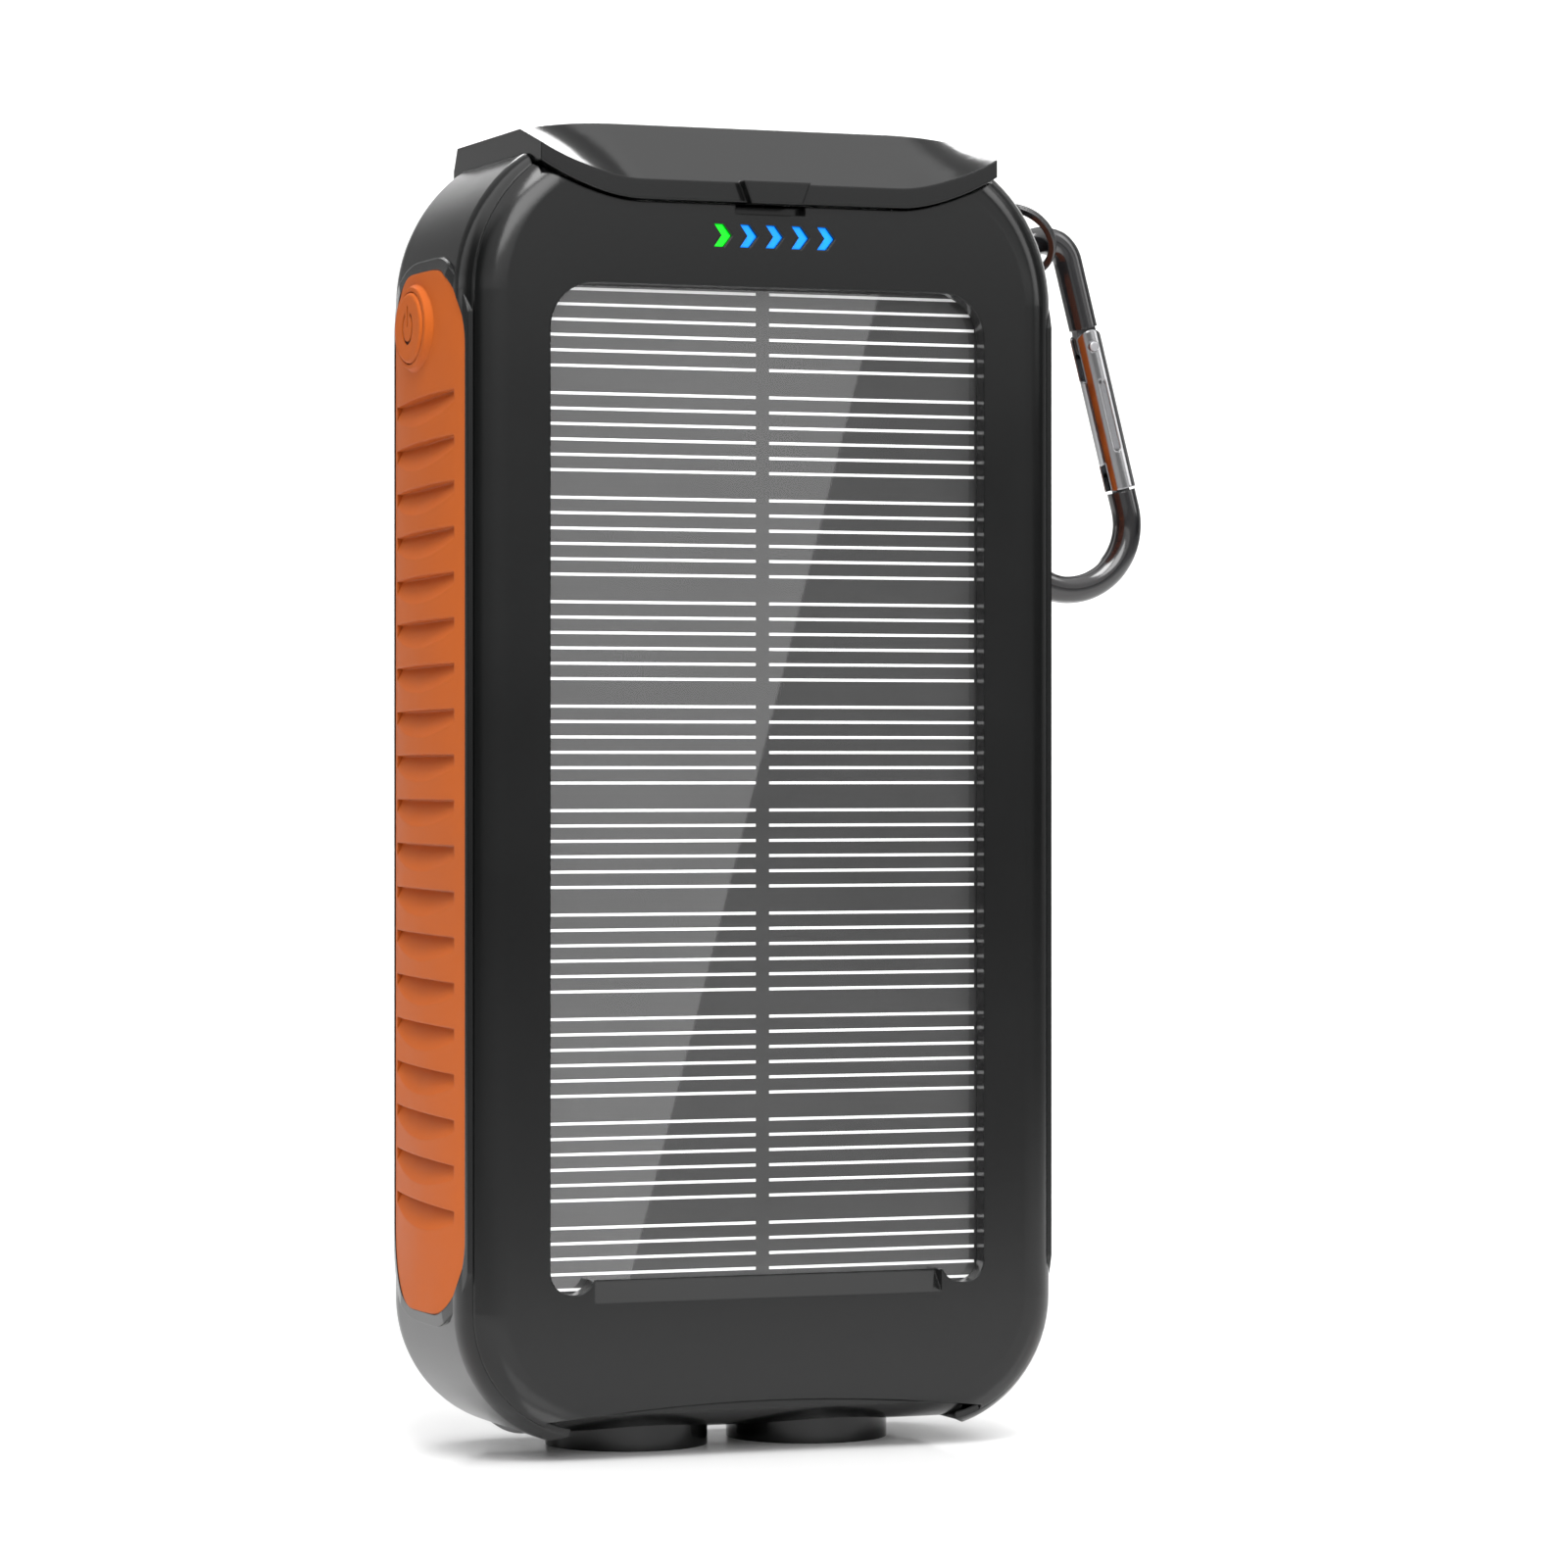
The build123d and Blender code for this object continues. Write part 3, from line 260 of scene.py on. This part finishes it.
# ---------------------------------------------------------------- floor and backdrop
# painted shade: the grey of the paper outside the painted pool of light; the whites are the paper's own colour,
# with random tone
PAPER_PAINTED_SHADE_GREY = (0.24, 0.24, 0.24)
PAPER_WHITES = ((0.74, 0.74, 0.74), (0.77, 0.77, 0.77))
PAPER_SHEEN = 0.16  # share of a blurred mirror in the paper
# painted light: strength of the glow painted on the wall
PAINTED_WALL_GLOW = 0.55
paper_mat, paper_tree = new_material("studio_paper")


def eased(direction, offset, start, end, absolute=False):
    """1 up to the start distance along a direction, easing down to 0 at the end distance."""
    dot = paper_tree.nodes.new("ShaderNodeVectorMath")
    dot.operation = "DOT_PRODUCT"
    dot.inputs[1].default_value = direction
    paper_tree.links.new(object_place(paper_tree), dot.inputs[0])
    distance = maths(paper_tree, "ADD", dot.outputs["Value"], offset)
    if absolute:
        distance = maths(paper_tree, "ABSOLUTE", distance)
    return map_range(paper_tree, distance, (start, end), (1.0, 0.0), "SMOOTHSTEP")


# painted light: the paper is painted white in a pool of light round the object and painted greyer, as shade,
# towards the sides, the top and the front
near_middle = eased(right, 0.0, 0.33, 0.62, absolute=True)
below_top = eased((0, 0, 1), -FLOOR, 0.40, 0.75)
behind_front = eased(-forward, 0.0, 0.125, 0.32)
painted_light_pool = maths(paper_tree, "MULTIPLY", maths(paper_tree, "MULTIPLY", near_middle, below_top), behind_front)
# painted light: the wall glows inside the painted pool from some way above the floor, though it is no lamp
wall_painted_glow = maths(paper_tree, "MULTIPLY", eased((0, 0, -1), 0.0, -0.17, 0.08), painted_light_pool)

paper = paper_tree.nodes.new("ShaderNodeBsdfPrincipled")
white_paper = two_colours(paper_tree, noise(paper_tree, 1.5, 2), *PAPER_WHITES)
paper_tree.links.new(mix_colours(paper_tree, painted_light_pool, PAPER_PAINTED_SHADE_GREY, white_paper), paper.inputs["Base Color"])
paper_tree.links.new(maths(paper_tree, "MULTIPLY", wall_painted_glow, PAINTED_WALL_GLOW), paper.inputs["Emission Strength"])
paper.inputs["Emission Color"].default_value = (*WHITE, 1)
paper.inputs["Roughness"].default_value = 0.6
paper.inputs["Specular IOR Level"].default_value = 0.2
mirror = paper_tree.nodes.new("ShaderNodeBsdfGlossy")
mirror.inputs["Roughness"].default_value = 0.10
mix_shaders(paper_tree, paper, mirror).default_value = PAPER_SHEEN

# a floor that curves up into a wall
FLOOR_FRONT, FLOOR_BACK = -1.6, 0.55
CURVE_RADIUS = 0.5
CURVE_STEPS = 12
WALL_TOP = 2.6
HALF_WIDTH = 2.6
profile = [(FLOOR_FRONT, 0.0), (FLOOR_BACK, 0.0)]
for i in range(1, CURVE_STEPS + 1):
    turn = math.radians(90 * i / CURVE_STEPS)
    along = FLOOR_BACK + CURVE_RADIUS * math.sin(turn)
    profile.append((along, CURVE_RADIUS - CURVE_RADIUS * math.cos(turn)))
profile.append((FLOOR_BACK + CURVE_RADIUS, WALL_TOP))
verts = []
for along, up in profile:
    for across in (-HALF_WIDTH, HALF_WIDTH):
        point = forward * along + right * across
        verts.append((point.x, point.y, FLOOR + up))
faces = [(2 * i, 2 * i + 1, 2 * i + 3, 2 * i + 2) for i in range(len(profile) - 1)]
sweep_mesh = bpy.data.meshes.new("studio_sweep")
sweep_mesh.from_pydata(verts, [], faces)
sweep_mesh.materials.append(paper_mat)
for poly in sweep_mesh.polygons:
    poly.use_smooth = True
sweep = bpy.data.objects.new("studio_sweep", sweep_mesh)
scene.collection.objects.link(sweep)

# ---------------------------------------------------------------- surroundings
# pairs of a coordinate of the direction and the brightness there, with the two ends first
BY_HEIGHT = [(-0.5, 0.3), (0.75, 1.7), (-0.04, 0.34), (0.078, 0.36), (0.098, 1.6), (0.2, 1.0)]
BY_DEPTH = [(-1.0, 1.0), (1.0, 1.0), (-0.75, 0.85), (-0.45, 0.05), (0.1, 0.12), (0.5, 1.0)]
OVERHEAD = [(-1.0, 0.0), (1.0, 1.0), (0.35, 0.0), (0.7, 1.0)]
RAMP_TOP = 2.0  # a ramp holds a brightness as a share of this

world = bpy.data.worlds.new("studio")
scene.world = world
world.use_nodes = True
sky = world.node_tree
sky.nodes.clear()


def ramp(coordinate, pairs):
    """Brightness against one coordinate of the direction, as a share of RAMP_TOP, eased between the pairs."""
    node = sky.nodes.new("ShaderNodeValToRGB")
    node.color_ramp.interpolation = "EASE"
    elements = node.color_ramp.elements
    for i, (at, value) in enumerate(pairs):
        place = 0.5 * (at + 1)
        element = elements[i] if i < 2 else elements.new(place)
        element.position = place
        element.color = (value / RAMP_TOP, value / RAMP_TOP, value / RAMP_TOP, 1)
    sky.links.new(maths(sky, "MULTIPLY_ADD", coordinate, 0.5, 0.5), node.inputs["Fac"])
    return node.outputs["Color"]


direction = sky.nodes.new("ShaderNodeSeparateXYZ")
sky.links.new(sky.nodes.new("ShaderNodeTexCoord").outputs["Generated"], direction.inputs["Vector"])
by_height = ramp(direction.outputs["Z"], BY_HEIGHT)
by_depth = ramp(direction.outputs["Y"], BY_DEPTH)
overhead = ramp(direction.outputs["Z"], OVERHEAD)
share = maths(sky, "MULTIPLY", by_height, maths(sky, "MAXIMUM", by_depth, overhead))
background = sky.nodes.new("ShaderNodeBackground")
sky.links.new(maths(sky, "MULTIPLY", share, RAMP_TOP * RAMP_TOP), background.inputs["Strength"])
background.inputs["Color"].default_value = (*WHITE, 1)
world_out = sky.nodes.new("ShaderNodeOutputWorld")
sky.links.new(background.outputs["Background"], world_out.inputs["Surface"])


# ---------------------------------------------------------------- lights
def aim(vector):
    """Rotation that makes a light shine along a vector."""
    return vector.to_track_quat("-Z", "Y").to_euler()


def area_light(name, at, toward, size, power):
    data = bpy.data.lights.new(name, "AREA")
    data.shape = "RECTANGLE"
    data.size, data.size_y = size
    data.energy = power
    light = bpy.data.objects.new(name, data)
    scene.collection.objects.link(light)
    light.location = at
    light.rotation_euler = aim(Vector(toward) - Vector(at))
    return light


area_light("key", (-0.12, -0.60, 0.85), (0, 0, 0), (0.45, 0.45), 7)
area_light("front", (-0.10, -1.20, 0.60), (0, 0, 0), (0.7, 0.5), 6)
area_light("fill", (0.75, -0.35, 0.45), (0.02, 0, 0), (0.3, 0.7), 1.5)
area_light("rim", (0.25, 0.6, 0.55), (0, 0, 0), (0.6, 0.3), 4)

# a tall softbox that lights only the clear cover of the solar panel, in which its slanting right edge shows
EDGE_LOW = Vector((0.037, -0.181, 0.006 + FLOOR))
EDGE_HIGH = Vector((0.076, -0.181, 0.150 + FLOOR))
SOFTBOX_WIDTH, SOFTBOX_HEIGHT = 0.12, 0.36
SOFTBOX_POWER = 0.22
slant = (EDGE_HIGH - EDGE_LOW).normalized()
leftward = Vector((-slant.z, 0, slant.x))
middle = 0.5 * (EDGE_LOW + EDGE_HIGH) + 0.5 * SOFTBOX_WIDTH * leftward
softbox = area_light("panel_glow", middle, middle + backward, (SOFTBOX_WIDTH, SOFTBOX_HEIGHT), SOFTBOX_POWER)
softbox.rotation_euler = aim(backward)
softbox.rotation_euler.rotate_axis("Z", -math.atan2(slant.x, slant.z))
lit = bpy.data.collections.new("panel_glow_only")
lit.objects.link(nodes["solar_cover"])
softbox.light_linking.receiver_collection = lit

# ---------------------------------------------------------------- camera
CAMERA_AT = (-0.2470, -0.6709, 0.0012)
CAMERA_TURN = -21.3  # degrees about +Z, away from looking along +Y
SENSOR_WIDTH, FOCAL_LENGTH = 36, 133.2  # millimetres
UPWARD_SHIFT = -0.0114  # share of the picture's width

lens = bpy.data.cameras.new("camera")
lens.sensor_width = SENSOR_WIDTH
lens.lens = FOCAL_LENGTH
lens.shift_y = UPWARD_SHIFT
lens.clip_start = 0.01
lens.clip_end = 20
camera = bpy.data.objects.new("camera", lens)
scene.collection.objects.link(camera)
camera.location = CAMERA_AT
camera.rotation_euler = (math.radians(90), 0, math.radians(CAMERA_TURN))
scene.camera = camera
